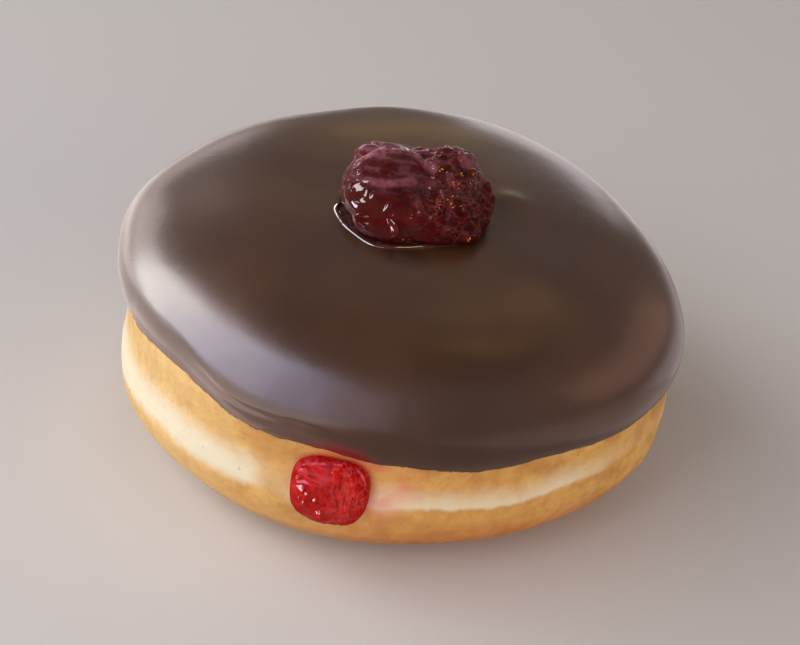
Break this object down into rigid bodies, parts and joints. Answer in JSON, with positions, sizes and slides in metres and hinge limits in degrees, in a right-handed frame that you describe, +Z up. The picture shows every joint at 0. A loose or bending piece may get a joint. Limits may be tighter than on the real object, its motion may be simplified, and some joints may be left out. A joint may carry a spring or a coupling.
{
  "type": "jelly filled doughnut",
  "caption": "Round fried yeast doughnut with chocolate icing over its top, a spoonful of raspberry jam on the icing and red jelly at the filling hole in its side.",
  "frame": {"origin": "middle of the bounding box's base, on the surface the doughnut rests on", "axes": "+Z up, through the jam; the filling hole faces -Y"},
  "size_m": [0.0916, 0.0923, 0.0542],
  "materials": {
    "fried_dough": "fried golden crust, satin, paler round its waist",
    "chocolate_icing": "smooth dark chocolate icing, set, with a soft shine",
    "raspberry_jam": "wet, lumpy dark red jam",
    "red_jelly": "wet, clear bright red jelly"
  },
  "bodies": {
    "root": {"dough": "fried_dough", "icing": "chocolate_icing", "jam_dollop": "raspberry_jam", "jelly_filling": "red_jelly"}
  },
  "joints": []
}
